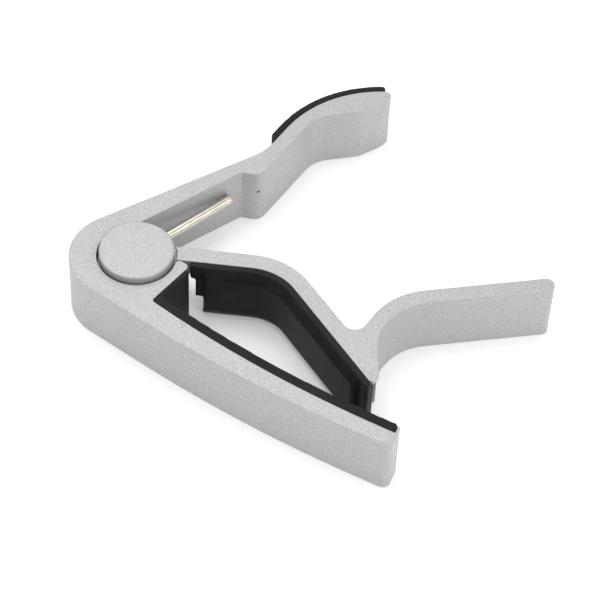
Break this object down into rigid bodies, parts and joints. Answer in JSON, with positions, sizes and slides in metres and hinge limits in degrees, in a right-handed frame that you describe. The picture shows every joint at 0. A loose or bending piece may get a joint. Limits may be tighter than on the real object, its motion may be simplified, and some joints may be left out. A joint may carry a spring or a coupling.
{
  "type": "guitar capo",
  "caption": "Spring trigger capo: cast frame with a padded string bar and fixed handle, and a sprung padded clamp lever with a trigger.",
  "frame": {"origin": "on the pivot axis, in the plane the capo lies on", "axes": "+Z along the pivot axis, up from the resting face; +X from the pivot to the string bar's tip; +Y from the bar towards the handles"},
  "size_m": [0.0869, 0.0835, 0.0155],
  "materials": {
    "cast_silver": "fine-grained satin silver paint",
    "cap_silver": "satin silver paint",
    "pin_steel": "plain turned steel",
    "spring_nickel": "bright nickel-plated spring wire",
    "bush_nylon": "natural nylon",
    "pad_rubber": "matte black moulded rubber"
  },
  "bodies": {
    "frame": {"frame": "cast_silver", "pivot_pin": "pin_steel", "pivot_cap": "cap_silver", "retaining_washer": "pin_steel", "lower_washer": "pin_steel", "string_pad": "pad_rubber", "handle_grip": "pad_rubber", "torsion_spring": "spring_nickel"},
    "clamp_lever": {"clamp_lever": "cast_silver", "hub_bush": "bush_nylon", "upper_washer": "bush_nylon", "neck_pad": "pad_rubber"}
  },
  "joints": [
    {"name": "lever_pivot", "type": "hinge", "parent": "frame", "child": "clamp_lever", "pos_m": [0, 0, 0.007], "axis": [0, 0, 1], "range_deg": [0, 40], "stiffness_Nm_per_rad": 0.8, "springref_deg": -57.3, "deforming": ["torsion_spring"]}
  ]
}
